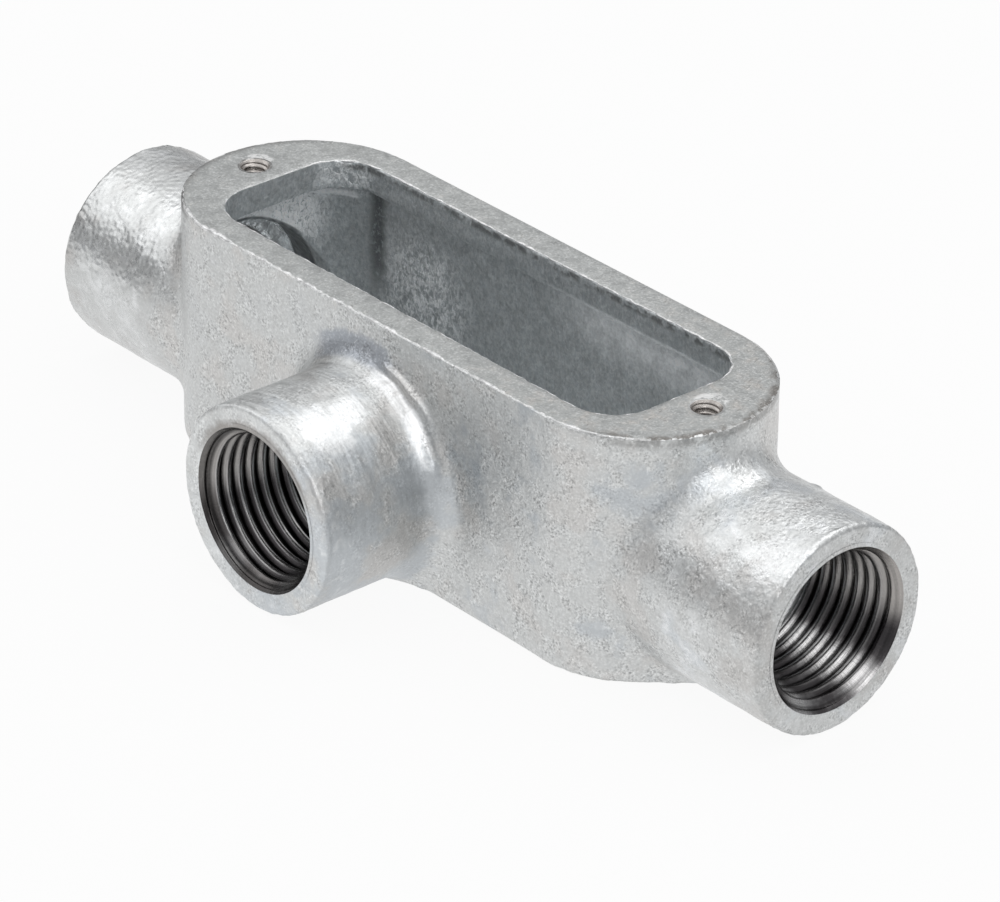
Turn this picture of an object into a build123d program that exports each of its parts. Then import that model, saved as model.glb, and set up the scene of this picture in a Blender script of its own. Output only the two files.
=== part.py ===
from build123d import *
import os

# Conduit tee: one galvanised iron casting. A long box with rounded ends stands on its flat back
# face, open at the top inside a flat cover flange, with a threaded hub at each end of the run and
# a third hub on one long side. Millimetres. The origin is on the back face, under the point where
# the axis of the run and the axis of the side hub cross. X is along the run, the side hub faces -Y
# and the opening faces +Z.

# Box of the casting
body_length = 95.2
body_width = 32.2
body_height = 33.7
wall_thickness = 2.4
floor_thickness = 2.4
floor_corner_radius = 3.0
back_edge_radius = 1.0
cavity_draft = 0.6

# Cover flange and the opening through it
flange_thickness = 4.2
flange_edge_radius = 0.4
flange_root_radius = 0.8
flange_end_land = 9.7
flange_side_land = 4.45
opening_corner_radius = 6.3
opening_top_radius = 0.35
opening_lower_radius = 0.9

# Tapped holes for two cover screws, at the root of a 3.5 mm machine-screw thread
cover_screw_inset = 5.45
cover_screw_diameter = 3.5
cover_screw_chamfer = 0.2

# Hubs, alike but for their lengths, which are taken from the box's wall
run_hub_length = 18.1
side_hub_length = 18.6
hub_diameter = 27.3
hub_above_back = 0.1
hub_edge_radius = 1.2
hub_root_radius = 4.0

# Bore of a hub: the root of a half-inch pipe thread, a bushing ring behind it, then the throat
thread_root_diameter = 20.8
thread_depth = 14.4
mouth_chamfer = 0.3
bushing_bore = 16.6
bushing_thickness = 2.8
bushing_edge_radius = 1.0
throat_above_floor = 0.7
throat_edge_radius = 0.6

# Largest share of the wall beside it that a fillet takes
fillet_share = 0.9

# What follows from the sizes above
hub_radius = hub_diameter / 2
hub_axis_height = hub_radius + hub_above_back
run_reach = body_length / 2 + run_hub_length
side_hub_reach = body_width / 2 + side_hub_length
wall_above_hub = body_height - flange_edge_radius - hub_axis_height - hub_radius
hub_root_fillet = min(hub_root_radius, fillet_share * wall_above_hub)
throat_radius = hub_axis_height - floor_thickness - throat_above_floor
bushing_step = throat_radius - bushing_bore / 2
bushing_edge_fillet = min(bushing_edge_radius, fillet_share * bushing_step)
cavity_length = body_length - 2 * wall_thickness
cavity_width = body_width - 2 * wall_thickness
cavity_top = body_height - flange_thickness
cavity_depth = cavity_top - floor_thickness
opening_length = body_length - 2 * flange_end_land
opening_width = body_width - 2 * flange_side_land
cover_screw_spacing = body_length - 2 * cover_screw_inset

# Lengths that only have to reach past what they cut or join
depth_below_back = 3 * hub_root_radius
mouth_clearance = 1.0


def hub_plane(face_centre, outward):
    """Plane through a hub's axis, with its origin on the hub's face, X out of the mouth and Y up."""
    return Plane(origin=face_centre, x_dir=outward, z_dir=Vector(outward).cross(Vector(0, 0, 1)))


right_hub = hub_plane((run_reach, 0, hub_axis_height), (1, 0, 0))
left_hub = hub_plane((-run_reach, 0, hub_axis_height), (-1, 0, 0))
side_hub = hub_plane((0, -side_hub_reach, hub_axis_height), (0, -1, 0))
hubs = [(right_hub, run_hub_length), (left_hub, run_hub_length), (side_hub, side_hub_length)]

with BuildPart() as tee_body:
    # The box runs on below the back face until the hub roots are filleted all the way round, and
    # the back is then cut flat.
    with BuildSketch(Plane.XY.offset(body_height)):
        SlotOverall(body_length, body_width)
    extrude(amount=-(body_height + depth_below_back))

    for hub, hub_length in hubs:
        inner_end = -hub_length - body_width / 2
        with BuildSketch(hub) as hub_section:
            with BuildLine():
                Polyline((0, 0), (0, hub_radius), (inner_end, hub_radius), (inner_end, 0), close=True)
            make_face()
            face_edge = hub_section.vertices().group_by(Axis.X)[-1].sort_by(Axis.Y)[-1]
            fillet(face_edge, hub_edge_radius)
        revolve(axis=Axis(hub.origin, hub.x_dir))
        fillet(tee_body.edges(Select.NEW), hub_root_fillet)

    split(bisect_by=Plane.XY)
    back_face = tee_body.faces().filter_by(Axis.Z).sort_by(Axis.Z)[0]
    fillet(back_face.edges(), back_edge_radius)

    # Cavity, wider than the opening, so that the flange overhangs it all round, and drafted towards
    # its floor
    with BuildSketch(Plane.XY.offset(cavity_top)):
        SlotOverall(cavity_length, cavity_width)
    extrude(amount=-cavity_depth, taper=cavity_draft, mode=Mode.SUBTRACT)
    cavity_floor, cavity_roof = tee_body.faces().filter_by(Axis.Z).sort_by(Axis.Z)[1:3]
    fillet(cavity_floor.edges(), floor_corner_radius)
    fillet(cavity_roof.edges(), flange_root_radius)

    # Opening through the flange
    with BuildSketch(Plane.XY.offset(body_height)):
        RectangleRounded(opening_length, opening_width, opening_corner_radius)
    extrude(amount=-flange_thickness, mode=Mode.SUBTRACT)
    flange_underside, flange_face = tee_body.faces().filter_by(Axis.Z).sort_by(Axis.Z)[-2:]
    fillet(flange_underside.inner_wires()[0].edges(), opening_lower_radius)
    fillet(flange_face.inner_wires()[0].edges(), opening_top_radius)
    fillet(flange_face.outer_wire().edges(), flange_edge_radius)

    # Tapped holes through the end lands of the flange
    with Locations(Plane.XY.offset(body_height)):
        with GridLocations(cover_screw_spacing, 0, 2, 1):
            Hole(cover_screw_diameter / 2, depth=flange_thickness + mouth_clearance)
    hole_mouths = tee_body.edges(Select.NEW).filter_by(GeomType.CIRCLE).group_by(Axis.Z)[-1]
    chamfer(hole_mouths, cover_screw_chamfer)

    # Bore of each hub, through to the cavity
    thread_root_radius = thread_root_diameter / 2
    bushing_end = thread_depth + bushing_thickness
    for hub, hub_length in hubs:
        inner_end = -hub_length - body_width / 2
        with BuildSketch(hub) as bore_section:
            with BuildLine():
                Polyline(
                    (mouth_clearance, 0),
                    (mouth_clearance, thread_root_radius + mouth_chamfer),
                    (0, thread_root_radius + mouth_chamfer),
                    (-mouth_chamfer, thread_root_radius),
                    (-thread_depth, thread_root_radius),
                    (-thread_depth, bushing_bore / 2),
                    (-bushing_end, bushing_bore / 2),
                    (-bushing_end, throat_radius),
                    (inner_end, throat_radius),
                    (inner_end, 0),
                    close=True,
                )
            make_face()
            fillet(bore_section.vertices().group_by(Axis.Y)[1], bushing_edge_fillet)
        revolve(axis=Axis(hub.origin, hub.x_dir), mode=Mode.SUBTRACT)
        fillet(tee_body.edges(Select.NEW), throat_edge_radius)

tee_body.part.label = "tee_body"
os.makedirs("parts", exist_ok=True)
export_step(tee_body.part, "parts/tee_body.step")
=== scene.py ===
import math

import bmesh
import bpy
import numpy as np
from bpy.props import FloatProperty, FloatVectorProperty, IntProperty, PointerProperty
from mathutils import Matrix, Vector


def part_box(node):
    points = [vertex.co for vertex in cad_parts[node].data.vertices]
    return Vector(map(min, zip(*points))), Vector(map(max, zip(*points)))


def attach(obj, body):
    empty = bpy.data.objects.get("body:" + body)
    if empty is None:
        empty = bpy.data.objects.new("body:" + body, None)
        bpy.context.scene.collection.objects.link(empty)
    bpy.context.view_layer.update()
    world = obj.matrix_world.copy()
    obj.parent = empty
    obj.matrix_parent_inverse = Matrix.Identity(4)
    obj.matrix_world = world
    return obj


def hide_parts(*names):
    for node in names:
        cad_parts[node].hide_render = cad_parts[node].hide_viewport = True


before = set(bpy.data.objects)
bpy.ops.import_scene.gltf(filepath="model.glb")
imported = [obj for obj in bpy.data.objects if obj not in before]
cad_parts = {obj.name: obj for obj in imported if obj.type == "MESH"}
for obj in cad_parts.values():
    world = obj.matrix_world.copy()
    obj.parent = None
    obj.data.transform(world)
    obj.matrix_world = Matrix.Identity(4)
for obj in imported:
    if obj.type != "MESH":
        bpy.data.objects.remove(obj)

bl_info = {
    "name": "Conduit tee",
    "version": (1, 0, 0),
    "blender": (4, 5, 0),
    "location": "3D View > Sidebar > Conduit tee",
    "description": "Dresses the conduit tee: cast zinc skin, cut threads, ground flange edge and the stage",
    "category": "Object",
}

bpy.context.view_layer.update()
BODY = "root"
MM = 0.001

# Places on the casting, in millimetres, as the solid has them
LOW, HIGH = (np.array(corner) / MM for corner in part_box("tee_body"))
HUB_AXIS = 13.75
FLANGE_TOP = HIGH[2]
FLANGE_THICKNESS = 4.2
HALF_WIDTH = HIGH[1]
ARC_CENTRE = 31.5
OPENING = (37.9, 11.65)
OPENING_CORNER = 6.3
HUB_RADIUS = 13.65
HUB_EDGE = 1.2
HUB_REACH = 24.0  # depth behind a hub's face at which its throat has ended
WALL_MIDDLE = 1.2  # depth of the middle of the walls and of the floor
BORE_WALL = 10.4
MOUTH = 10.7
THREAD_END = 14.4
THREAD_TAPER = 1 / 32
HUBS = {
    "right": (np.array([HIGH[0], 0.0, HUB_AXIS]), np.array([1.0, 0.0, 0.0])),
    "left": (np.array([LOW[0], 0.0, HUB_AXIS]), np.array([-1.0, 0.0, 0.0])),
    "side": (np.array([0.0, LOW[1], HUB_AXIS]), np.array([0.0, -1.0, 0.0])),
}
SCREW_HOLES = {side: np.array([x, 0.0, FLANGE_TOP]) for side, x in (("right", 42.15), ("left", -42.15))}
SCREW_MOUTH = 1.95
SCREW_ROOT = 1.74
UP = np.array([0.0, 0.0, 1.0])

# Forms that the skin adds, in millimetres: a radius round the side hub or a height, then a width
BEAD = (15.62, 0.42)
GROOVE = (14.75, 0.48)
LEDGE = (27.9, 0.55)
LEDGE_DEPTH = 0.5
NUB_PLACE = np.array([52.9, 8.4, 24.6])
NUB_WIDTH = 0.75
NUB_HEIGHT = 0.3

# How the skin is meshed: a weld in metres, an angle, and the radii in millimetres that it is trimmed to
WELD = 2e-6
CREASE = math.radians(34)
HUB_TRIM = MOUTH + 0.2
SCREW_TRIM = 2.1

# Marks on the zinc: the middle of each and its reach, in millimetres
# The next two are painted shade, in the bluish zinc of the run marks, beside the side hub and at the right
# end
SHADE_BESIDE_HUB = ((15.5, -16.2, 18.0), 9.0)
SHADE_AT_RIGHT_END = ((42.0, -11.0, 26.0), 9.0)
GLINT_ON_SIDE_HUB = ((6.3, -28.5, 25.6), 5.2)
GLINT_NEAR_ROOT = ((5.0, -24.0, 26.0), 3.6)
GLINT_ON_RIGHT_HUB = ((62.0, -8.0, 24.6), 4.5)
# The next two are painted highlights beyond the screw holes
HIGHLIGHT_BEYOND_LEFT_SCREW = ((-43.1, 1.2, FLANGE_TOP), 2.5)
HIGHLIGHT_BEYOND_RIGHT_SCREW = ((41.4, 1.4, FLANGE_TOP), 2.6)
FROST_ON_LONG_WALL = ((-24.5, 13.6, 16.5), 11.0)
# The next three are painted light: lit frost beside the left throat, a highlight under the flange and glints
# beside the throat
LIT_FROST_BESIDE_THROAT = ((-44.2, 4.5, 25.5), 9.5)
HIGHLIGHT_UNDER_FLANGE = ((-36.5, 10.5, 31.5), 5.5)
GLINTS_BESIDE_THROAT = ((-44.2, 5.0, 25.0), 9.0)

# Colours of small marks
GRAIN_LIGHT = (0.88, 0.89, 0.895)
PIT_DARK = (0.21, 0.21, 0.215)
# Painted highlight in the hollow of the side hub's root
ROOT_HIGHLIGHT = (0.95, 0.96, 0.965)
# Painted shade under the flange's edge
SHADE_UNDER_FLANGE_EDGE = (0.12, 0.115, 0.11)
IRON_OIL = (0.20, 0.18, 0.165)
SCORE = (0.20, 0.19, 0.18)
SCUFF = (0.14, 0.13, 0.12)
# Painted highlight beyond the screw holes
HOLE_HIGHLIGHT = (0.90, 0.90, 0.895)
# Frost, and painted light in the cavity
FROST_AND_PAINTED_LIGHT = (0.96, 0.98, 0.99)
# Painted shadow in the throats, and a dark band on the end wall
THROAT_SHADOW_AND_DARK_BAND = (0.10, 0.105, 0.11)
# Painted shadow under the edge of the opening
SHADOW_UNDER_OPENING = (0.10, 0.095, 0.09)

# The stage, in metres, and the camera's fit: bearing, lift and roll in degrees, then aim and distance
# in millimetres
FLOOR_HALF = 4.0
FLOOR_LEVEL = -1e-5
FLOOR_GLOW = 0.93
LIGHT_AIM = (0.0, 0.0, 0.01)
CAMERA_ANGLES = (47.9653, 29.0353, 1.1115)
CAMERA_AIM = (5.8887, 0.0, 12.302)
CAMERA_DISTANCE = 653.48


# Small helpers for meshes

def new_piece(name, vertices, faces, materials):
    """A mesh object from millimetre points that rides on the tee's body."""
    mesh = bpy.data.meshes.new(name)
    mesh.from_pydata([tuple(v) for v in np.asarray(vertices) * MM], [], [tuple(f) for f in faces])
    mesh.validate()
    return finished_piece(name, mesh, materials)


def finished_piece(name, mesh, materials):
    """An object that shows a mesh, with its materials, smooth faces and body."""
    piece = bpy.data.objects.new(name, mesh)
    bpy.context.scene.collection.objects.link(piece)
    for material in materials:
        mesh.materials.append(material)
    mesh.polygons.foreach_set("use_smooth", [True] * len(mesh.polygons))
    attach(piece, BODY)
    return piece


def grid_faces(rows, columns, closed_rows=False, closed_columns=False):
    """Quads over a grid of points that are numbered row by row."""
    faces = []
    for r in range(rows if closed_rows else rows - 1):
        for c in range(columns if closed_columns else columns - 1):
            r2, c2 = (r + 1) % rows, (c + 1) % columns
            faces.append((r * columns + c, r * columns + c2, r2 * columns + c2, r2 * columns + c))
    return faces


def ripple(points, wavelength, seed, waves=48):
    """A smooth random field of about unit strength, with features of the given size in millimetres."""
    random = np.random.default_rng(seed)
    directions = random.normal(size=(waves, 3))
    directions /= np.linalg.norm(directions, axis=1)[:, None]
    counts = random.uniform(0.75, 1.3, waves) * 2 * math.pi / wavelength
    phases = random.uniform(0, 2 * math.pi, waves)
    field = np.zeros(len(points))
    for direction, count, phase in zip(directions, counts, phases):
        field += np.sin(points @ direction * count + phase)
    return field * math.sqrt(2 / waves)


def ramp(values, low, high):
    """0 below low, 1 above high and smooth between."""
    t = np.clip((values - low) / (high - low), 0, 1)
    return t * t * (3 - 2 * t)


def bell(values, middle, width):
    """1 at the middle, falling smoothly to about 0 two widths from it."""
    return np.exp(-(((values - middle) / width) ** 2))


def around_hub(points, hub):
    """Depth behind a hub's face and distance from its axis, of each point."""
    centre, outward = HUBS[hub]
    offset = points - centre
    depth = -offset @ outward
    radial = offset + depth[:, None] * outward
    return depth, np.linalg.norm(radial, axis=1)


def round_side_hub(x, z):
    """Distance from the side hub's axis, and bearing about it in degrees up from the right."""
    return np.hypot(x, z - HUB_AXIS), np.degrees(np.arctan2(z - HUB_AXIS, x))


# Shader maths as expressions

class Signal:
    """A shader socket that adds a Math node wherever it is used in an expression."""

    def __init__(self, shader, socket):
        self.shader = shader
        self.socket = socket

    def maths(self, operation, first, second=0.0):
        made = self.shader.node("ShaderNodeMath", {"operation": operation}, {0: first, 1: second})
        return made.out("Value")

    def __add__(self, other):
        return self.maths("ADD", self, other)

    __radd__ = __add__

    def __sub__(self, other):
        return self.maths("SUBTRACT", self, other)

    def __rsub__(self, other):
        return self.maths("SUBTRACT", other, self)

    def __mul__(self, other):
        return self.maths("MULTIPLY", self, other)

    __rmul__ = __mul__

    def __truediv__(self, other):
        return self.maths("DIVIDE", self, other)

    def __rtruediv__(self, other):
        return self.maths("DIVIDE", other, self)

    def __pow__(self, other):
        return self.maths("POWER", self, other)

    def __abs__(self):
        return self.maths("ABSOLUTE", self)

    def lowest(self, other):
        return self.maths("MINIMUM", self, other)

    def highest(self, other):
        return self.maths("MAXIMUM", self, other)

    def bearing(self, across):
        """Angle in radians of the direction that this goes up and another signal goes across."""
        return self.maths("ARCTAN2", self, across)

    def rise(self, low, high):
        """0 below low, 1 above high and smooth between."""
        settings = {"interpolation_type": "SMOOTHSTEP", "clamp": True}
        sockets = {"Value": self, "From Min": low, "From Max": high}
        return self.shader.node("ShaderNodeMapRange", settings, sockets).out("Result")


class Made:
    """A node whose outputs are read by name or number."""

    def __init__(self, shader, node):
        self.shader = shader
        self.node = node

    def out(self, name):
        return Signal(self.shader, self.node.outputs[name])


class Shader:
    """A material or world being built from nodes."""

    def __init__(self, owner):
        self.owner = owner
        owner.use_nodes = True
        self.tree = owner.node_tree
        self.tree.nodes.clear()

    def node(self, kind, settings=None, sockets=None):
        """A node of a kind, with its settings and then the values or links of its sockets."""
        node = self.tree.nodes.new(kind)
        for name, value in (settings or {}).items():
            setattr(node, name, value)
        for name, value in (sockets or {}).items():
            if isinstance(value, Signal):
                self.tree.links.new(value.socket, node.inputs[name])
            else:
                node.inputs[name].default_value = value
        return Made(self, node)

    def parts(self, vector):
        """The three parts of a vector."""
        made = self.node("ShaderNodeSeparateXYZ", sockets={"Vector": vector})
        return made.out("X"), made.out("Y"), made.out("Z")

    def position(self):
        """The object's own coordinates in millimetres, as a vector and as its three parts."""
        place = self.scaled(self.node("ShaderNodeTexCoord").out("Object"), 1 / MM)
        return place, self.parts(place)

    def noise(self, vector, size, detail=2.0, roughness=0.5, distortion=0.0):
        """Noise of about 0.5 on average, with features of a size in millimetres."""
        sockets = {"Vector": vector, "Scale": 1 / size, "Detail": detail, "Roughness": roughness}
        sockets["Distortion"] = distortion
        return self.node("ShaderNodeTexNoise", sockets=sockets).out("Fac")

    def stretched(self, x, y, z):
        """A vector of three parts, for noise that is drawn out one way."""
        return self.node("ShaderNodeCombineXYZ", sockets={"X": x, "Y": y, "Z": z}).out("Vector")

    def mix(self, amount, first, second):
        """A colour between two others."""
        sockets = {"Factor": amount, 6: self.colour(first), 7: self.colour(second)}
        return self.node("ShaderNodeMix", {"data_type": "RGBA"}, sockets).out(2)

    def scaled(self, vector, amount):
        """A vector times a number, or a colour made lighter or darker."""
        made = self.node("ShaderNodeVectorMath", {"operation": "SCALE"}, {0: vector, "Scale": amount})
        return made.out("Vector")

    def colour(self, value):
        return value if isinstance(value, Signal) else (*value, 1.0)

    def bump(self, height, distance):
        """A normal from a height, where a height of 1 stands a distance in millimetres proud."""
        sockets = {"Height": height, "Distance": distance * MM, "Strength": 1.0}
        return self.node("ShaderNodeBump", sockets=sockets).out("Normal")

    def metal(self, **sockets):
        """Ends the material in one metal surface."""
        names = {name.replace("_", " ").title(): value for name, value in sockets.items()}
        surface = self.node("ShaderNodeBsdfPrincipled", sockets=names).out("BSDF")
        self.node("ShaderNodeOutputMaterial", sockets={"Surface": surface})
        return self.owner


# Finishes

def span(*parts):
    """Length of the line with the given parts along the axes."""
    total = parts[0] * parts[0]
    for part in parts[1:]:
        total = total + part * part
    return total ** 0.5


def near(parts, mark):
    """1 in the middle of a mark, falling to 0 at its reach."""
    middle, reach = mark
    return span(*(part - place for part, place in zip(parts, middle))).rise(reach, reach * 0.35)


def from_opening(x, y):
    """Distance outward from the outline of the opening, negative within it."""
    past_x = (abs(x) - (OPENING[0] - OPENING_CORNER)).highest(0.0)
    past_y = (abs(y) - (OPENING[1] - OPENING_CORNER)).highest(0.0)
    return span(past_x, past_y) - OPENING_CORNER


def sand_grains(s, place):
    """The two fine noises that all zinc outside the cavity is grained with."""
    return s.noise(place, 0.30, 1.0, 0.6), s.noise(place, 0.55, 2.0, 0.6)


def salt_and_pepper(s, body, strength, salt, grain, mottle):
    """A zinc colour with light and dark grains, and clusters of dark pits."""
    speckle = (salt - 0.5) * 0.80 + (grain - 0.5) * 0.80
    body = s.scaled(body, 1.0 + speckle * strength)
    body = s.mix(salt.rise(0.58, 0.68) * strength * 0.35, body, GRAIN_LIGHT)
    pepper = salt.rise(0.42, 0.35) * mottle.rise(0.46, 0.60)
    return s.mix(pepper * strength * 0.32, body, PIT_DARK)


def cast_zinc(looks):
    """Hot-dip zinc over a sand casting: frost-like grain, smooth bluish run marks and glossy dented hubs,
    with painted shade, painted glints, a painted highlight band in the side hub's root, and the side hub's
    face lightened and the right hub's face darker as painted light.
    """
    s = Shader(bpy.data.materials.new("cast_zinc"))
    place, parts = s.position()
    x, y, z = parts
    salt, grain = sand_grains(s, place)
    dents = s.noise(place, 0.70, 0.0)
    frost = s.noise(place, 1.7, 2.0, 0.6, 0.5)
    cloud = s.noise(place, 8.0, 3.0, 0.58)
    mottle = s.noise(place, 2.6, 2.0, 0.65)

    # Hubs
    run_hub = abs(x).rise(45.0, 51.0)
    left_hub = x.rise(-45.0, -49.0)
    side_hub = y.rise(-16.6, -18.2)
    lifted = z - HUB_AXIS

    # Round the root of the side hub: painted shade over its top where it meets the wall, and smoother bluish
    # zinc to its right, with painted shade there and at the right end
    from_side = span(x, lifted)
    bearing = lifted.bearing(x) * math.degrees(1.0) + (frost - 0.5) * 16.0
    shading = bearing.rise(66.0, 84.0) * bearing.rise(136.0, 118.0)
    shading = shading * y.rise(-15.0, -16.0) * y.rise(-18.2, -17.2)
    shading = shading * (from_side + (mottle - 0.5) * 3.0).rise(17.9, 16.6)
    # Smoother bluish zinc: random run marks, with painted shade on the right of the side hub, beside it and
    # at the right end
    runs_and_shade = (cloud + side_hub * bearing.rise(66.0, 44.0) * 0.15 + near(parts, SHADE_BESIDE_HUB) * 0.14
            + near(parts, SHADE_AT_RIGHT_END) * 0.10)
    runny_and_shaded = (runs_and_shade + (frost - 0.5) * 0.2).rise(0.54, 0.70) * (0.2 + x.rise(-9.0, 3.0) * 0.8)
    # Painted glints on the side hub, near its root and on the right hub, lightening the bright zinc
    glints = near(parts, GLINT_ON_SIDE_HUB).highest(near(parts, GLINT_NEAR_ROOT))
    glints = glints * 0.22 + near(parts, GLINT_ON_RIGHT_HUB) * 0.25
    bright = (side_hub * 0.04 + run_hub * 0.10 + glints + frost * 0.6 + cloud * 0.4).rise(0.58, 0.78)
    runny_and_shaded = runny_and_shaded * (1.0 - glints * 3.0).highest(0.0)

    body = s.mix(cloud.rise(0.36, 0.50), looks.warm_zinc, looks.zinc)
    body = s.mix(runny_and_shaded, body, looks.run_of_zinc)
    body = s.mix(shading * 0.7, body, looks.dull_zinc)
    body = s.mix(bright * 0.6, body, looks.bright_zinc)

    # A painted highlight band in the hollow of the side hub's root, and brush marks round its barrel
    band = bearing.rise(18.0, 36.0) * bearing.rise(90.0, 76.0)
    band = band * from_side.rise(13.7, 14.0) * from_side.rise(15.0, 14.5)
    band = band * y.rise(-15.8, -16.8) * (0.4 + frost.rise(0.35, 0.55) * 0.6)
    body = s.mix(band * 0.9, body, ROOT_HIGHLIGHT)
    brushed = s.noise(s.stretched(bearing * 0.05, y * 2.2, from_side * 0.5), 1.0, 3.0, 0.65) - 0.5
    brushed = brushed * (0.25 + bearing.rise(10.0, 50.0) * 0.75)
    body = s.scaled(body, 1.0 + (brushed * 0.8 - 0.10 + (cloud - 0.5) * 0.7) * side_hub
                    + (cloud - 0.5) * run_hub * 0.6 - left_hub * 0.06)
    patchy = mottle.rise(0.38, 0.62)
    strength = (0.45 + patchy * 0.65) * (1.0 - runny_and_shaded * 0.5) * (1.0 - left_hub * 0.6) * (1.0 - side_hub * 0.3)
    body = salt_and_pepper(s, body, strength * (1.0 - bright * 0.4), salt, grain, mottle)

    # Painted shade under the flange's edge at both ends, and smoky iron oil over the side hub's mouth
    line = z.rise(FLANGE_TOP - 1.6, FLANGE_TOP - 0.7) * (x.rise(-32.0, -42.0) + x.rise(34.0, 44.0) * 0.6)
    body = s.mix(line * frost.rise(0.30, 0.46) * 0.75, body, SHADE_UNDER_FLANGE_EDGE)
    on_face = y.rise(LOW[1] + 0.5, LOW[1] + 0.2)
    oil = on_face * (from_side + (frost - 0.5) * 1.6).rise(12.1, 10.9) * lifted.rise(3.0, 8.0)
    body = s.mix(oil * 0.65, body, IRON_OIL)
    # Painted light: the side hub's face lighter and the right hub's face darker
    body = s.scaled(body, 1.0 + on_face * 0.24 - x.rise(HIGH[0] - 0.5, HIGH[0] - 0.2) * 0.15)

    smooth = (left_hub * 0.08 - side_hub * (brushed * 0.40 + (cloud - 0.5) * 0.5 + 0.05)
              + runny_and_shaded * 0.06 + bright * 0.08 + run_hub * 0.04)
    roughness = looks.gloss + (grain - 0.5) * 0.25 - smooth
    relief = ((salt - 0.5) * 0.34 + (grain - 0.5) * 0.90) * (0.45 + patchy * 0.55) + (frost - 0.5) * 0.55
    relief = relief * (1.0 - runny_and_shaded * 0.5 - side_hub * 0.45) * (1.0 - left_hub * 0.65) * (1.0 - run_hub * 0.25)
    relief = relief + (dents - 0.5) * (run_hub * 0.40 + left_hub * 0.24 + side_hub * 0.20)
    normal = s.bump(relief, looks.grain_depth / MM)
    return s.metal(base_color=body, roughness=roughness, metallic=0.90, normal=normal)


def ground_zinc(looks):
    """The flange's ground face: mottled, finely scratched, with brownish stains towards the right end and a
    painted highlight beyond each screw hole.
    """
    s = Shader(bpy.data.materials.new("ground_zinc"))
    place, parts = s.position()
    x, y, z = parts
    salt, grain = sand_grains(s, place)
    mottle = s.noise(place, 2.4, 4.0, 0.65)
    long_marks = s.noise(s.stretched(x * 0.30 + y * 0.8, y * 5.0 - x * 4.2, z), 1.1, 3.0, 0.7)
    cross_marks = s.noise(s.stretched(x * 5.5 + y * 2.0, y * 0.4 - x * 0.8, z), 1.1, 2.0, 0.7)
    stains = mottle.rise(0.46, 0.62) * x.rise(8.0, 34.0) + mottle.rise(0.56, 0.70) * 0.7
    face = s.mix(stains * 0.35, looks.ground_face, looks.stain)
    # A painted highlight on the far side of each screw hole
    behind_holes = near(parts, HIGHLIGHT_BEYOND_LEFT_SCREW).highest(near(parts, HIGHLIGHT_BEYOND_RIGHT_SCREW))
    hole_highlight = behind_holes.rise(0.05, 0.45) * (mottle * 0.6 + grain * 0.4).rise(0.40, 0.54)
    scored = cross_marks.rise(0.60, 0.68) * mottle.rise(0.44, 0.56) + long_marks.rise(0.64, 0.72) * 0.6
    face = s.mix(scored * 0.45, face, SCORE)
    past = (abs(x) - ARC_CENTRE).highest(0.0)
    edge = (span(past, y) + (mottle - 0.5) * 1.5).rise(14.6, 15.9)
    edge = edge * (x.rise(34.0, 42.0) + x.rise(-40.0, -46.0) * 0.5) * mottle.rise(0.36, 0.50)
    face = s.mix(edge * 0.85, face, SCUFF)
    face = s.scaled(face, 1.0 + (long_marks - 0.5) * 0.45 + (mottle - 0.5))
    face = salt_and_pepper(s, face, 0.5, salt, grain, mottle)
    face = s.mix(hole_highlight * 0.65, face, HOLE_HIGHLIGHT)
    roughness = looks.gloss + 0.03 + (long_marks - 0.5) * 0.3 + (mottle - 0.5) * 0.2
    relief = (grain - 0.5) * 0.30 + (salt - 0.5) * 0.15 + (long_marks - 0.5) * 0.25 - scored * 0.12
    normal = s.bump(relief, looks.grain_depth / MM)
    return s.metal(base_color=face, roughness=roughness, metallic=0.80, normal=normal)


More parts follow.
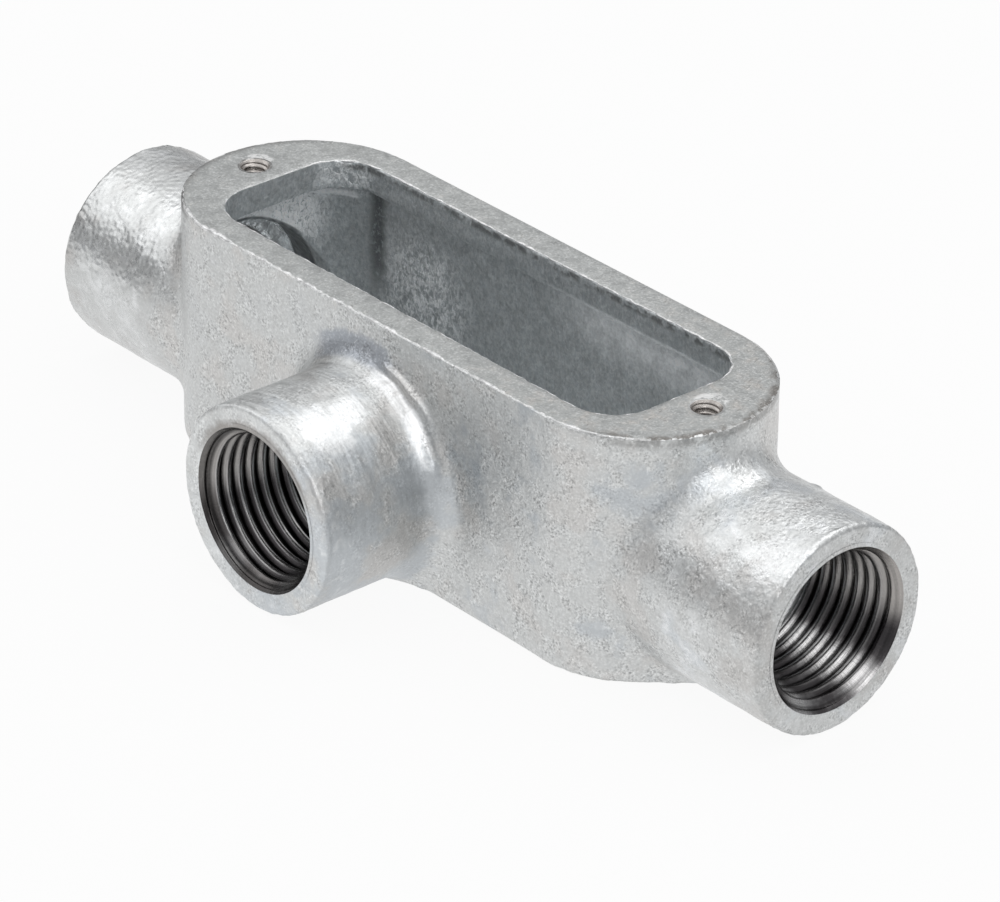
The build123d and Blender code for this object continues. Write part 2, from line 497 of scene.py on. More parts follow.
def inner_zinc(looks):
    """Dull bluish zinc of the cavity: frost patches with painted light, painted glints and highlights, a dark
    band at the end wall, and glossy throats with painted shadow on their walls and a painted reflection on
    the bushing faces.
    """
    s = Shader(bpy.data.materials.new("inner_zinc"))
    place, parts = s.position()
    x, y, z = parts
    grain = s.noise(place, 0.45, 2.0, 0.6)
    frost = s.noise(place, 1.6, 2.0, 0.6)
    needles = s.noise(s.stretched(x * 1.8, y * 1.8, z * 1.2), 0.9, 3.0, 0.66, 0.8)
    lifted = z - HUB_AXIS
    in_throat = span(y, lifted).rise(11.25, 10.95)
    # Deep in each throat the bushing face is lightened, a painted reflection, and the throat's wall before it
    # is darkened, a painted shadow
    throat = in_throat * abs(x).rise(46.8, 47.3)
    shaded = in_throat * abs(x).rise(42.3, 43.0) * (1.0 - throat)
    # Frost patches, with painted light beside the throat and a painted highlight under the flange
    frost_and_painted_light = (near(parts, FROST_ON_LONG_WALL) * 0.9 + near(parts, LIT_FROST_BESIDE_THROAT) * 1.3
               + near(parts, HIGHLIGHT_UNDER_FLANGE) * 0.8).lowest(1.0)
    # A painted band of light high on the far wall
    painted_light_band = z.rise(21.0, 28.0) * z.rise(30.4, 29.8) * x.rise(-4.0, 14.0) * y.rise(8.0, 11.0)
    frost_and_painted_light = (frost_and_painted_light * (needles * 0.75 + frost * 0.25).rise(0.38, 0.66)).highest(painted_light_band * (frost * 0.6 + 0.5))
    # Painted glints beside the left throat
    flecks = near(parts, GLINTS_BESIDE_THROAT) * needles.rise(0.32, 0.50) * z.rise(17.0, 21.0)
    frost_and_painted_light = frost_and_painted_light.highest(flecks) * (1.0 - in_throat)
    # A painted highlight along the ledge on the left end wall
    ledge = abs(z - 27.7).rise(0.65, 0.25) * x.rise(-35.5, -37.0) * x.rise(-44.0, -42.0) * y.rise(7.5, 9.0)
    # A dark vertical band where the curved end wall meets the long wall
    dark_band = abs(x + 33.4 + (frost - 0.5) * 1.2).rise(2.0, 0.3) * y.rise(11.5, 12.8) * z.rise(12.0, 20.0)
    dark_band = dark_band * needles.rise(0.30, 0.50)
    inner = s.mix(needles.rise(0.35, 0.65), looks.inner_zinc, looks.inner_light)
    inner = s.mix((frost_and_painted_light + throat + ledge).lowest(1.0), inner, FROST_AND_PAINTED_LIGHT)
    inner = s.mix((dark_band * 0.75 + shaded * 0.7).lowest(1.0), inner, THROAT_SHADOW_AND_DARK_BAND)
    inner = s.scaled(inner, 1.0 + (grain - 0.5) * (0.6 - in_throat * 0.5) + (frost - 0.5) * 0.5)

    # Painted shadow under the edge of the opening
    under_edge = z.rise(FLANGE_TOP - 1.6, FLANGE_TOP - 0.8) * z.rise(FLANGE_TOP - 0.2, FLANGE_TOP - 0.5)
    opening_shadow = under_edge * abs(from_opening(x, y)).rise(0.8, 0.3) * y.rise(8.0, 11.0) * frost.rise(0.40, 0.56)
    inner = s.mix(opening_shadow * 0.65, inner, SHADOW_UNDER_OPENING)
    roughness = looks.gloss + 0.04 + (grain - 0.5) * (0.2 - in_throat * 0.2) - frost_and_painted_light * 0.06 - throat * 0.24
    relief = (needles - 0.5) * (0.6 + frost_and_painted_light * 1.6) + (grain - 0.5) * 0.4 + (frost - 0.5) * 0.5
    relief = relief * (1.0 - in_throat * 0.8) + (frost - 0.5) * in_throat * 2.5
    normal = s.bump(relief, looks.grain_depth / MM)
    metallic = 0.88 - (frost_and_painted_light + ledge).lowest(1.0) * 0.78 - throat * 0.25
    return s.metal(base_color=inner, roughness=roughness, metallic=metallic, normal=normal)


def turned_iron(looks):
    """Bare iron cut by a tap: dark and smooth, with crests lightened by wear and painted highlight, painted
    shade in the lower half of each bore with a painted highlight band low in it, and painted shade in the
    grooves.
    """
    s = Shader(bpy.data.materials.new("turned_iron"))
    place, (x, y, z) = s.position()
    run = abs(x).rise(40.0, 41.0)
    down = run * (HIGH[0] - abs(x)) + (1.0 - run) * (y - LOW[1])
    across = run * y + (1.0 - run) * x
    lifted = z - HUB_AXIS
    radius = span(across, lifted)
    turn = lifted.bearing(across)
    marks = s.noise(s.stretched(down * 6.0, radius * 6.0, turn * 1.2), 1.0, 3.0, 0.7)
    chatter = s.noise(s.stretched(down * 0.5, radius * 0.5, turn * 42.0), 1.0, 2.0, 0.6)
    patches = s.noise(place, 3.2, 3.0, 0.6)
    grit = s.noise(place, 0.3, 2.0, 0.6)
    level = lifted / radius + (patches - 0.5) * 0.16
    # Painted shade: each bore darker from about its axis downward
    dark = level.rise(0.10, -0.36)
    # A painted highlight band low in each bore
    highlit = level.rise(-0.64, -0.84) * level.rise(-1.0, -0.88)
    straight = radius + down * THREAD_TAPER
    crest = straight.rise(9.54, 9.39) * down.rise(1.0, 1.8)
    screw = z.rise(28.0, 29.0)
    colour = s.mix(dark, looks.cut_iron, looks.dark_iron)
    at_mouth = down.rise(2.6, 0.8) * (run * (1.0 - dark) * 0.5 + (1.0 - run) * 0.20)
    colour = s.mix(at_mouth, colour, looks.mouth_iron)
    highlit = highlit * (run + (1.0 - run) * down.rise(4.5, 1.5) * 0.6)
    # Crests lightened by wear and painted highlight
    worn = (highlit * 0.9).highest(crest * (0.75 - run * 0.45))
    colour = s.mix(worn, colour, looks.worn_iron)
    colour = s.mix(screw, colour, looks.mouth_iron)
    # Painted shade in the thread grooves, and on the side bore's mouth cone
    groove = run * straight.rise(9.95, 10.30) + (1.0 - run) * straight.rise(9.66, 10.05)
    groove = groove * down.rise(0.3, 1.0).highest((1.0 - run) * 0.7) * (1.0 - screw)
    streaks = (marks - 0.5) * (0.5 + highlit * 0.9)
    colour = s.scaled(colour, 1.0 - groove * 0.75 + streaks + (grit - 0.5) * 0.3)
    roughness = 0.22 + (grit - 0.5) * 0.15 + (marks - 0.5) * 0.15
    relief = (marks - 0.5) * 0.6 + (chatter - 0.5) * (highlit * 0.8 + 0.25) + (grit - 0.5) * 0.12
    normal = s.bump(relief, 0.05)
    return s.metal(base_color=colour, roughness=roughness, metallic=0.95, normal=normal)


def bright_burr(looks):
    """The thin edge of zinc that grinding rolled over."""
    s = Shader(bpy.data.materials.new("bright_burr"))
    place, _ = s.position()
    patches = s.noise(place, 1.2, 3.0, 0.6)
    flecks = s.noise(place, 0.28, 2.0, 0.6)
    colour = s.mix(patches.rise(0.38, 0.60), looks.worn, looks.burr)
    colour = s.scaled(colour, 1.0 + (flecks - 0.5) * 0.9)
    normal = s.bump(flecks, 0.05)
    return s.metal(base_color=colour, roughness=0.36 + patches * 0.12, metallic=0.8, normal=normal)


def made_once(make, looks):
    """The material that a finish makes, or the one it made before."""
    return bpy.data.materials.get(make.__name__) or make(looks)


# Sizes and colours

def length(name, description, millimetres, **limits):
    """A length that a user may change, held in metres."""
    return FloatProperty(
        name=name, description=description, default=millimetres * MM, subtype="DISTANCE", unit="LENGTH",
        precision=5, **limits)


def colour(name, description, value):
    """A colour that a user may change."""
    return FloatVectorProperty(
        name=name, description=description, default=value, size=3, subtype="COLOR", min=0, max=1)


def power(name, description, value):
    """A light's power that a user may change."""
    return FloatProperty(name=name, description=description, default=value, unit="POWER")


class CastingLooks(bpy.types.PropertyGroup):
    """Skin of the casting."""

    spacing: length("Mesh spacing", "Width of the faces of the dressed skin", 0.6, min=0.52 * MM)
    waviness: length("Waviness", "Depth of the slow unevenness of the cast walls", 0.045)
    dimples: length("Dimples", "Depth of the shallow dimples on the hubs", 0.010)
    grain_depth: length("Grain depth", "Depth of the sand grain under the zinc", 0.14)
    root_bead: length("Root bead", "Height of the bead of zinc round the root of the side hub", 0.42)
    gloss: FloatProperty(
        name="Roughness", description="Mean roughness of the zinc", default=0.42, min=0, max=1)
    zinc: colour("Zinc", "Frosted zinc on the outside", (0.62, 0.63, 0.628))
    warm_zinc: colour("Warm zinc", "Frosted zinc with a brownish cast", (0.62, 0.615, 0.605))
    # Bluish zinc of the run marks, also used as painted shade
    run_of_zinc: colour("Run of zinc", "Smoother, bluish zinc", (0.52, 0.545, 0.565))
    # Painted shade over the top of the side hub's root, where it meets the wall
    dull_zinc: colour("Dull zinc", "Dark bluish smudge over the root of the side hub", (0.33, 0.36, 0.41))
    # Thick bright zinc, also used for painted glints
    bright_zinc: colour("Bright zinc", "Thick bright zinc on hubs and roots", (0.78, 0.79, 0.795))
    ground_face: colour("Ground face", "Ground face of the flange", (0.445, 0.455, 0.450))
    stain: colour("Stain", "Brownish stain on the ground face", (0.37, 0.345, 0.32))
    inner_zinc: colour("Inner zinc", "Dull zinc inside the cavity", (0.52, 0.55, 0.565))
    inner_light: colour(
        "Lighter inner zinc", "Lighter needles of zinc inside the cavity", (0.68, 0.70, 0.705))


class ThreadLooks(bpy.types.PropertyGroup):
    """Threads of the hubs and of the cover screws."""

    pitch: length("Pipe thread pitch", "From crest to crest, 14 to the inch", 25.4 / 14)
    height: length("Pipe thread height", "From root to crest", 1.05)
    countersink: FloatProperty(
        name="Countersink slope", description="How fast the cone at the mouth narrows with depth",
        default=0.85, min=0.1, max=1)
    turns_around: IntProperty(
        name="Points around", description="Points in one turn of a pipe thread", default=120, min=24)
    screw_pitch: length("Screw thread pitch", "From crest to crest, 32 to the inch", 25.4 / 32)
    screw_height: length("Screw thread height", "From root to crest", 0.36)
    cut_iron: colour("Cut iron", "Bare iron of the thread", (0.30, 0.29, 0.283))
    # Iron darkened as painted shade
    dark_iron: colour("Dark iron", "Oily or darkened iron between the clean patches", (0.060, 0.056, 0.058))
    mouth_iron: colour("Iron at the mouth", "Clean iron of the cone at the mouth", (0.42, 0.395, 0.375))
    # Iron of worn crests, also used for painted highlights
    worn_iron: colour(
        "Worn iron", "Bright iron of worn crests and of the burnished band", (0.47, 0.465, 0.465))


class BurrLooks(bpy.types.PropertyGroup):
    """The rolled edges of the flange."""

    thickness: length("Burr thickness", "Mean radius of the rolled outer edge", 0.23)
    inner_thickness: length("Inner burr thickness", "Mean radius of the rolled edge of the opening", 0.17)
    worn: colour("Worn burr", "Duller zinc between the bright stretches", (0.58, 0.585, 0.585))
    burr: colour("Burr", "Bright zinc of the rolled edge", (0.80, 0.80, 0.80))


class StageLooks(bpy.types.PropertyGroup):
    """Camera and lights."""

    lens: FloatProperty(name="Lens", description="Focal length of the camera in millimetres", default=189.007)
    left: power("Left light", "Power of the softbox at the left", 0.6)
    right: power("Right light", "Power of the softbox at the right", 0.9)
    top: power("Top light", "Power of the softbox overhead", 0.7)
    zenith: FloatProperty(name="Zenith", description="Strength of the surround overhead", default=1.45, min=0)
    horizon: FloatProperty(
        name="Horizon", description="Strength of the surround at the horizon", default=0.48, min=0)
    dark_side: FloatProperty(
        name="Dark side", description="Strength of the surround low at the left", default=0.10, min=0)


# The casting

def even_skin(node, spacing):
    """A copy of the solid's mesh in even faces about a spacing wide, in metres, with its sharp edges kept."""
    joined = bmesh.new()
    joined.from_mesh(node.data)
    bmesh.ops.remove_doubles(joined, verts=joined.verts[:], dist=WELD)
    mesh = bpy.data.meshes.new("joined")
    joined.to_mesh(mesh)
    joined.free()
    holder = bpy.data.objects.new("joined", mesh)
    bpy.context.scene.collection.objects.link(holder)
    remesh = holder.modifiers.new("even", "REMESH")
    remesh.mode = "SHARP"
    remesh.octree_depth = 8
    remesh.scale = min(0.99, max(holder.dimensions) / (2 ** remesh.octree_depth * spacing))
    remesh.use_remove_disconnected = False
    depsgraph = bpy.context.evaluated_depsgraph_get()
    even = bpy.data.meshes.new_from_object(holder.evaluated_get(depsgraph))
    bpy.data.objects.remove(holder)
    skin = bmesh.new()
    skin.from_mesh(even)
    held = set()
    for edge in skin.edges:
        edge.smooth = edge.calc_face_angle(0.0) < CREASE
        if not edge.smooth:
            held.update(edge.verts)
    free = [v for v in skin.verts if v not in held]
    for _ in range(3):
        bmesh.ops.smooth_vert(skin, verts=free, factor=0.5, use_axis_x=True, use_axis_y=True, use_axis_z=True)
    skin.normal_update()
    return skin


def finer_places(skin):
    """Splits the faces round the top of the side hub's root, and those of the hubs' outer edges."""
    middles = np.array([(edge.verts[0].co + edge.verts[1].co) / (2 * MM) for edge in skin.edges])
    x, y, z = middles.T
    radius, bearing = round_side_hub(x, z)
    fine = (radius > 13.9) & (radius < 17.0) & (bearing > 10.0) & (bearing < 90.0) & (np.abs(y + 17.1) < 1.6)
    crisp = np.zeros(len(middles), bool)
    for hub in HUBS:
        depth, from_axis = around_hub(middles, hub)
        crisp |= (depth < 1.5) & (depth > -0.1) & (from_axis > 12.3)
    edges = list(skin.edges)
    for chosen, cuts in ((fine, 2), (crisp & ~fine, 1)):
        cut = [edges[i] for i in np.flatnonzero(chosen)]
        bmesh.ops.subdivide_edges(skin, edges=cut, cuts=cuts, use_grid_fill=True, smooth=0.0)
    bmesh.ops.triangulate(skin, faces=[f for f in skin.faces if len(f.verts) > 4])
    skin.normal_update()


def cast_relief(points, looks):
    """How far each point of the skin stands out or in, in millimetres."""
    x, y, z = points.T
    waviness, dimples, bead = (value / MM for value in (looks.waviness, looks.dimples, looks.root_bead))
    relief = waviness * (0.6 * ripple(points, 11.0, 3) + 0.4 * ripple(points, 5.0, 4))
    end = ramp(np.abs(x), 47.0, 50.0)
    side = ramp(-y, 17.0, 20.0)
    hammered = end * (1.0 + 0.9 * (x < 0)) + 0.6 * side
    relief += dimples * hammered * np.tanh(1.2 * ripple(points, 2.0, 5))
    relief += 0.012 * ripple(points, 2.0, 6)

    # A bead of zinc runs round the top of the side hub's root, with a groove inside it
    from_hub, bearing = round_side_hub(x, z)
    wall = ramp(-y, HALF_WIDTH - 2.6, HALF_WIDTH - 0.4) * ramp(-y, HALF_WIDTH + 2.8, HALF_WIDTH + 1.4)
    wander = from_hub + 0.10 * ripple(points, 5.0, 7)
    crest = ramp(bearing, 38.0, 52.0) * ramp(bearing, 81.0, 74.0) * bell(wander, *BEAD)
    hollow = ramp(bearing, 14.0, 30.0) * ramp(bearing, 86.0, 76.0) * bell(wander, *GROOVE)
    relief += bead * wall * (crest - 0.75 * hollow)

    # A ledge on the end wall of the cavity, under the flange
    end_wall = ramp(-x, 34.5, 36.5) * ramp(-x, 43.5, 41.0) * ramp(y, 6.0, 8.0)
    end_wall *= ramp(HALF_WIDTH - WALL_MIDDLE - np.abs(y), 0.0, 0.3)
    relief += LEDGE_DEPTH * end_wall * bell(z, *LEDGE)

    # A nub of metal left on top of the right hub
    relief += NUB_HEIGHT * bell(np.linalg.norm(points - NUB_PLACE, axis=1), 0.0, NUB_WIDTH)

    # Ground, turned and cut faces stay true
    kept = ramp(FLANGE_TOP - z, 0.25, 1.2)
    for hub in HUBS:
        depth, radius = around_hub(points, hub)
        off_face = ramp(depth, 0.15, 1.4)
        off_bore = np.maximum(ramp(radius, BORE_WALL + 0.1, BORE_WALL + 1.2), ramp(depth, 17.0, 18.5))
        kept *= np.where(depth > HUB_REACH, 1.0, np.minimum(off_face, off_bore))
    kept *= 0.15 + 0.85 * ramp(z, 0.0, 0.8)
    relief = relief * kept

    # The hubs' outer edges are crisper than the solid's round
    for hub in HUBS:
        depth, radius = around_hub(points, hub)
        past_round = radius - (HUB_RADIUS - HUB_EDGE)
        from_round = np.maximum(np.hypot(past_round, depth - HUB_EDGE), 1e-6)
        diagonal = np.clip(2 * past_round * (HUB_EDGE - depth) / from_round ** 2, 0, 1)
        corner = (radius > HUB_RADIUS - HUB_EDGE) & (depth < HUB_EDGE) & (depth > -0.1)
        relief += np.where(corner, 0.22 * diagonal ** 2 + 0.02 * diagonal * ripple(points, 1.6, 11), 0.0)
    return relief


def face_middles(skin):
    """The middle of each face, in millimetres."""
    return np.array([face.calc_center_median() for face in skin.faces]) / MM


def drop_bores(skin):
    """Deletes the bores' faces, where the threads have meshes of their own."""
    middles = face_middles(skin)
    bore = np.zeros(len(middles), bool)
    for hub in HUBS:
        depth, radius = around_hub(middles, hub)
        bore |= (depth > -0.3) & (depth < THREAD_END - 0.8) & (radius < MOUTH + 0.15)
    for mouth in SCREW_HOLES.values():
        radius = np.hypot(middles[:, 0] - mouth[0], middles[:, 1])
        bore |= (radius < SCREW_MOUTH) & (middles[:, 2] > FLANGE_TOP - FLANGE_THICKNESS + 0.4)
    skin.faces.ensure_lookup_table()
    bmesh.ops.delete(skin, geom=[skin.faces[i] for i in np.flatnonzero(bore)], context="FACES")


def trim_mouths(skin):
    """Draws the skin's edge back to a circle round each mouth, where the lip of the thread covers it."""
    mouths = [(centre, outward, HUB_TRIM) for centre, outward in HUBS.values()]
    mouths += [(mouth, UP, SCREW_TRIM) for mouth in SCREW_HOLES.values()]
    for vertex in skin.verts:
        place = np.array(vertex.co) / MM
        for centre, outward, edge in mouths:
            offset = place - centre
            height = offset @ outward
            across = offset - height * outward
            radius = np.linalg.norm(across)
            if abs(height) < 0.3 and 0.5 < radius < edge:
                vertex.co = (centre + height * outward + across * edge / radius) * MM


def number_finishes(skin):
    """Numbers the finish of each face: 0 cast outside, 1 ground top of the flange, 2 inside."""
    middles = face_middles(skin)
    x, y, z = middles.T
    from_spine = np.hypot(np.maximum(np.abs(x) - ARC_CENTRE, 0.0), y)
    within = (from_spine < HALF_WIDTH - WALL_MIDDLE) & (z > WALL_MIDDLE)
    for hub in HUBS:
        depth, radius = around_hub(middles, hub)
        within |= (depth > THREAD_END - 1.0) & (depth < HUB_REACH) & (radius < BORE_WALL + 0.5)
    level = np.array([face.normal.z for face in skin.faces]) > 0.9
    ground = (z > FLANGE_TOP - 0.1) & level
    for face, number in zip(skin.faces, np.where(ground, 1, np.where(within, 2, 0))):
        face.material_index = int(number)


class TEE_OT_casting(bpy.types.Operator):
    """Makes the cast skin, with its grain, dimples and bead, in place of the plain solid"""

    bl_idname = "tee.casting"
    bl_label = "Cast body"

    def execute(self, context):
        looks = context.scene.tee_casting
        skin = even_skin(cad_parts["tee_body"], looks.spacing)
        finer_places(skin)
        points = np.array([v.co for v in skin.verts]) / MM
        normals = np.array([v.normal for v in skin.verts])
        moved = points + normals * cast_relief(points, looks)[:, None]
        moved[:, 2] = np.maximum(moved[:, 2], 0.0)
        for vertex, place in zip(skin.verts, moved):
            vertex.co = place * MM
        drop_bores(skin)
        trim_mouths(skin)
        number_finishes(skin)
        mesh = bpy.data.meshes.new("cast_body")
        skin.to_mesh(mesh)
        skin.free()
        materials = [made_once(finish, looks) for finish in (cast_zinc, ground_zinc, inner_zinc)]
        piece = finished_piece("cast_body", mesh, materials)
        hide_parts("tee_body")
        return {"FINISHED"}


# Threads

def bore_surface(mouth, slope, root, crest_height, pitch, depth, around, rows_a_pitch, taper):
    """Depth, radius and angle of the points of a bore with a right-hand thread and a cone at its mouth.

    The rows follow the thread, so its crests stay smooth. The last column repeats the first.
    """
    turn = np.linspace(0.0, 1.0, around + 1)[None, :]
    rows = int(depth / pitch * rows_a_pitch) + rows_a_pitch + 1
    down = np.clip(np.arange(rows)[:, None] * pitch / rows_a_pitch - pitch * turn, 0.0, depth)
    tooth = np.abs(np.sin(math.pi * (down / pitch + turn))) ** 0.8
    crest = np.maximum(root - crest_height - down * taper, mouth - slope * down)
    groove = np.maximum(root - down * taper - crest, 0.0) * ramp(down, 0.05 * pitch, 0.40 * pitch)
    return down, crest + groove * (1.0 - tooth), 2 * math.pi * turn + 0 * down


def tapped_piece(name, centre, outward, surface, lip, materials):
    """A tapped bore with a flat lip round its mouth, in the metal of the casting's face.

    The lip is given as depths and radii, from its rim to the mouth.
    """
    down, radius, angle = surface
    for lip_down, lip_radius in reversed(lip):
        down = np.vstack([np.full_like(down[:1], lip_down), down])
        radius = np.vstack([np.full_like(radius[:1], lip_radius), radius])
        angle = np.vstack([angle[:1], angle])
    upward = UP if abs(outward[2]) < 0.5 else np.array([0.0, 1.0, 0.0])
    across = np.cross(upward, outward)
    ring = np.cos(angle)[..., None] * across + np.sin(angle)[..., None] * upward
    points = centre - down[..., None] * outward + radius[..., None] * ring
    rows, columns = down.shape
    faces = [tuple(reversed(f)) for f in grid_faces(rows, columns)]
    piece = new_piece(name, points.reshape(-1, 3), faces, materials)
    lip_faces = (len(lip) - 1) * (columns - 1)
    piece.data.polygons.foreach_set("material_index", [int(i >= lip_faces) for i in range(len(faces))])
    bore = bmesh.new()
    bore.from_mesh(piece.data)
    bmesh.ops.remove_doubles(bore, verts=bore.verts[:], dist=WELD)
    bore.to_mesh(piece.data)
    bore.free()


def thread_metals(scene):
    """The zinc of a thread's lip and the cut iron of its bore."""
    return [made_once(cast_zinc, scene.tee_casting), made_once(turned_iron, scene.tee_threads)]


class TEE_OT_hub_threads(bpy.types.Operator):
    """Cuts the tapered pipe thread and its countersunk mouth in each of the three hubs"""

    bl_idname = "tee.hub_threads"
    bl_label = "Hub threads"

    def execute(self, context):
        looks = context.scene.tee_threads
        materials = thread_metals(context.scene)
        surface = bore_surface(
            mouth=MOUTH, slope=looks.countersink, root=BORE_WALL, crest_height=looks.height / MM,
            pitch=looks.pitch / MM, depth=THREAD_END, around=looks.turns_around, rows_a_pitch=16,
            taper=THREAD_TAPER)
        lip = [(-0.03, MOUTH + 0.55), (-0.03, MOUTH + 0.07), (0.0, MOUTH)]
        for hub, (centre, outward) in HUBS.items():
            tapped_piece(f"pipe_thread_{hub}", centre, outward, surface, lip, materials)
        return {"FINISHED"}


class TEE_OT_screw_threads(bpy.types.Operator):
    """Cuts the thread in the two cover-screw holes"""

    bl_idname = "tee.screw_threads"
    bl_label = "Cover-screw threads"

    def execute(self, context):
        looks = context.scene.tee_threads
        materials = thread_metals(context.scene)
        surface = bore_surface(
            mouth=SCREW_MOUTH, slope=1.0, root=SCREW_ROOT, crest_height=looks.screw_height / MM,
            pitch=looks.screw_pitch / MM, depth=FLANGE_THICKNESS, around=40, rows_a_pitch=12, taper=0.0)
        lip = [(-0.015, 2.25), (-0.02, 2.02), (0.0, SCREW_MOUTH)]
        for side, mouth in SCREW_HOLES.items():
            tapped_piece(f"screw_thread_{side}", mouth, UP, surface, lip, materials)
        return {"FINISHED"}


# The flange's rolled edge

def outline_of_flange(radius, step):
    """Points round the flange, a radius from the line between its end centres, and the way out at each."""
    straight = [(x, -radius, 0.0, -1.0) for x in np.arange(-ARC_CENTRE, ARC_CENTRE, step)]
    turns = np.arange(-math.pi / 2, math.pi / 2, step / radius)
    ways = [(math.cos(t), math.sin(t)) for t in turns]
    end = [(ARC_CENTRE + radius * x, radius * y, x, y) for x, y in ways]
    half = np.array(straight + end)
    return np.vstack([half, -half])


def rolled_edge(name, path, height, thickness, strength, material, seed):
    """A closed bead of uneven thickness along a level path."""
    places = np.column_stack([path[:, :2], np.full(len(path), height)])
    swell = 0.85 + 0.30 * ripple(places, 3.6, seed) + 0.16 * ripple(places, 1.1, seed + 1)
    radius = thickness * np.clip(swell, 0.35, 1.5) * strength
    shift = 0.05 * ripple(places, 1.7, seed + 2)
    sides = 8
    turn = np.linspace(0, 2 * math.pi, sides, endpoint=False)
    outward = np.column_stack([path[:, 2:], np.zeros(len(path))])
    rings = (places + shift[:, None] * outward)[:, None, :] + radius[:, None, None] * (
        np.cos(turn)[None, :, None] * outward[:, None, :] + 0.8 * np.sin(turn)[None, :, None] * UP)
    faces = grid_faces(len(path), sides, closed_rows=True, closed_columns=True)
    new_piece(name, rings.reshape(-1, 3), faces, [material])


def outline_of_opening(outset, step):
    """Points round the opening, an outset out from its edge, and the way out at each."""
    half_x, half_y = OPENING[0] - OPENING_CORNER, OPENING[1] - OPENING_CORNER
    radius = OPENING_CORNER + outset
    corners = [(half_x, -half_y, -90), (half_x, half_y, 0), (-half_x, half_y, 90), (-half_x, -half_y, 180)]
    points = []
    for i, (x, y, start) in enumerate(corners):
        for t in np.radians(np.arange(start, start + 90, math.degrees(step / radius))):
            points.append((x + radius * math.cos(t), y + radius * math.sin(t), math.cos(t), math.sin(t)))
        t = math.radians(start + 90)
        ax, ay = x + radius * math.cos(t), y + radius * math.sin(t)
        next_x, next_y, _ = corners[(i + 1) % 4]
        bx, by = next_x + radius * math.cos(t), next_y + radius * math.sin(t)
        count = int(math.hypot(bx - ax, by - ay) / step)
        for f in np.arange(count) / count:
            points.append((ax + (bx - ax) * f, ay + (by - ay) * f, math.cos(t), math.sin(t)))
    return np.array(points)


class TEE_OT_flange_burr(bpy.types.Operator):
    """Rolls a thin uneven burr over the outer edge of the flange and the edge of its opening"""

    bl_idname = "tee.flange_burr"
    bl_label = "Flange burrs"

    def execute(self, context):
        looks = context.scene.tee_burr
        metal = made_once(bright_burr, looks)
        step = 0.2
        outer = outline_of_flange(HALF_WIDTH - 0.24, step)
        front = 0.30 + 0.70 * ramp(-outer[:, 1], -2.0, 10.0) * ramp(-np.abs(outer[:, 0]), -45.0, -39.0)
        front *= 1.0 + 0.35 * ramp(-outer[:, 0], 0.0, 25.0)
        rolled_edge("flange_burr", outer, FLANGE_TOP - 0.16, looks.thickness / MM, front, metal, 21)
        inner = outline_of_opening(0.16, step)
        back = 0.30 + 0.70 * ramp(inner[:, 1], 2.0, 10.0)
        rolled_edge("opening_burr", inner, FLANGE_TOP - 0.13, looks.inner_thickness / MM, back, metal, 31)
        return {"FINISHED"}


# Stage

def softbox(name, place, size, power):
    """A rectangular area light, in metres, that faces the object."""
    light = bpy.data.lights.new(name, "AREA")
    light.shape = "RECTANGLE"
    light.size, light.size_y = size
    light.energy = power
    lamp = bpy.data.objects.new(name, light)
    lamp.location = place
    lamp.rotation_mode = "QUATERNION"
    lamp.rotation_quaternion = (Vector(LIGHT_AIM) - Vector(place)).to_track_quat("-Z", "Y")
    bpy.context.scene.collection.objects.link(lamp)


def photo_camera(lens):
    """The camera of the photograph, from a fit of the casting's outlines."""
    bearing, lift, roll = (math.radians(angle) for angle in CAMERA_ANGLES)
    back = Vector((math.sin(bearing) * math.cos(lift), -math.cos(bearing) * math.cos(lift), math.sin(lift)))
    level = Vector((math.cos(bearing), math.sin(bearing), 0.0))
    upright = back.cross(level)
    right = math.cos(roll) * level + math.sin(roll) * upright
    up = -math.sin(roll) * level + math.cos(roll) * upright
    data = bpy.data.cameras.new("camera")
    data.lens = lens
    data.sensor_width = 36.0
    data.clip_start, data.clip_end = 0.05, 20.0
    camera = bpy.data.objects.new("camera", data)
    turn = Matrix((right, up, back)).transposed().to_4x4()
    camera.matrix_world = Matrix.Translation(Vector(CAMERA_AIM) * MM + back * CAMERA_DISTANCE * MM) @ turn
    bpy.context.scene.collection.objects.link(camera)
    bpy.context.scene.camera = camera


def floor_finish():
    """Matt white that keeps a faint shadow. It mirrors white in the metal, and fades far from the object."""
    s = Shader(bpy.data.materials.new("floor_white"))
    path = s.node("ShaderNodeLightPath")
    across, along, _ = s.parts(s.node("ShaderNodeTexCoord").out("Object"))
    close = span(across, along).rise(0.32, 0.10)
    seen = path.out("Is Camera Ray").highest(path.out("Is Glossy Ray") * close)
    seen = seen.highest(path.out("Is Transmission Ray"))
    matt = s.node("ShaderNodeBsdfDiffuse", sockets={"Color": (0.60, 0.60, 0.60, 1.0)}).out("BSDF")
    white = {"Color": (1.0, 1.0, 1.0, 1.0), "Strength": 1.0}
    glow = s.node("ShaderNodeEmission", sockets=white).out("Emission")
    mixed = s.node("ShaderNodeMixShader", sockets={0: seen * FLOOR_GLOW, 1: matt, 2: glow})
    s.node("ShaderNodeOutputMaterial", sockets={"Surface": mixed.out("Shader")})
    return s.owner


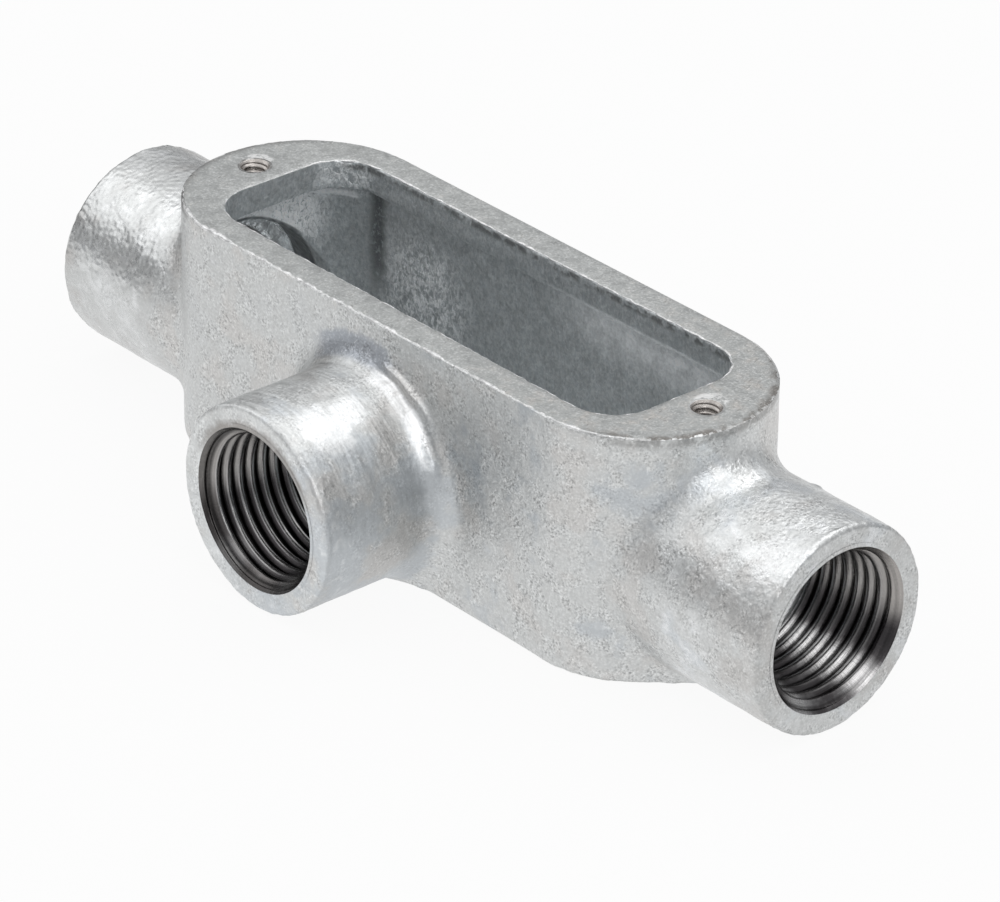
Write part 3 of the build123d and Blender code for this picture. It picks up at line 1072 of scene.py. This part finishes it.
def surround_light(looks):
    """A soft studio, bright overhead, dimmer towards the horizon and dimmest low at the left."""
    s = Shader(bpy.data.worlds.new("surround"))
    x, _, z = s.parts(s.node("ShaderNodeTexCoord").out("Generated"))
    height = z.highest(0.0)
    leftward = x.rise(-0.55, -0.95) * height.rise(0.45, 0.15)

    def background(red, green, blue, strength):
        sockets = {"Color": (red, green, blue, 1.0), "Strength": strength}
        return s.node("ShaderNodeBackground", sockets=sockets).out("Background")

    horizon = background(0.97, 0.98, 1.0, looks.horizon)
    dark_side = background(0.96, 0.98, 1.0, looks.dark_side)
    zenith = background(1.0, 1.0, 1.0, looks.zenith)
    low = s.node("ShaderNodeMixShader", sockets={0: leftward, 1: horizon, 2: dark_side})
    whole = s.node("ShaderNodeMixShader", sockets={0: height ** 2.2, 1: low.out("Shader"), 2: zenith})
    s.node("ShaderNodeOutputWorld", sockets={"Surface": whole.out("Shader")})
    return s.owner


class TEE_OT_stage(bpy.types.Operator):
    """Sets the floor, the camera and the soft lights"""

    bl_idname = "tee.stage"
    bl_label = "Stage"

    def execute(self, context):
        looks = context.scene.tee_stage
        photo_camera(looks.lens)
        floor = bpy.data.meshes.new("floor")
        ways = ((-1, -1), (1, -1), (1, 1), (-1, 1))
        corners = [(x * FLOOR_HALF, y * FLOOR_HALF, FLOOR_LEVEL) for x, y in ways]
        floor.from_pydata(corners, [], [(0, 1, 2, 3)])
        floor_object = bpy.data.objects.new("floor", floor)
        floor.materials.append(floor_finish())
        context.scene.collection.objects.link(floor_object)

        context.scene.world = surround_light(looks)
        softbox("left_light", (-0.50, -0.23, 0.45), (0.60, 0.45), looks.left)
        softbox("right_light", (0.56, -0.09, 0.41), (0.42, 0.50), looks.right)
        softbox("top_light", (-0.03, 0.34, 0.62), (0.50, 0.45), looks.top)
        context.scene.view_settings.view_transform = "Standard"
        return {"FINISHED"}


class TEE_PT_panel(bpy.types.Panel):
    """Lists the pieces of the conduit tee"""

    bl_idname = "TEE_PT_panel"
    bl_label = "Conduit tee"
    bl_space_type = "VIEW_3D"
    bl_region_type = "UI"
    bl_category = "Conduit tee"

    def draw(self, context):
        for operator, group in STEPS:
            box = self.layout.box()
            box.operator(operator.bl_idname)
            settings = getattr(context.scene, group)
            for name in settings.__annotations__:
                box.prop(settings, name)


GROUPS = {
    "tee_casting": CastingLooks,
    "tee_threads": ThreadLooks,
    "tee_burr": BurrLooks,
    "tee_stage": StageLooks,
}
STEPS = [
    (TEE_OT_casting, "tee_casting"),
    (TEE_OT_hub_threads, "tee_threads"),
    (TEE_OT_screw_threads, "tee_threads"),
    (TEE_OT_flange_burr, "tee_burr"),
    (TEE_OT_stage, "tee_stage"),
]
CLASSES = [*GROUPS.values(), *(operator for operator, _ in STEPS), TEE_PT_panel]


def register():
    for cls in CLASSES:
        bpy.utils.register_class(cls)
    for name, group in GROUPS.items():
        setattr(bpy.types.Scene, name, PointerProperty(type=group))


def unregister():
    for name in GROUPS:
        delattr(bpy.types.Scene, name)
    for cls in reversed(CLASSES):
        bpy.utils.unregister_class(cls)


def main():
    """Makes every piece and the stage."""
    register()
    bpy.ops.tee.casting()
    bpy.ops.tee.hub_threads()
    bpy.ops.tee.screw_threads()
    bpy.ops.tee.flange_burr()
    bpy.ops.tee.stage()
    bpy.context.view_layer.update()


if __name__ == "__main__":
    main()
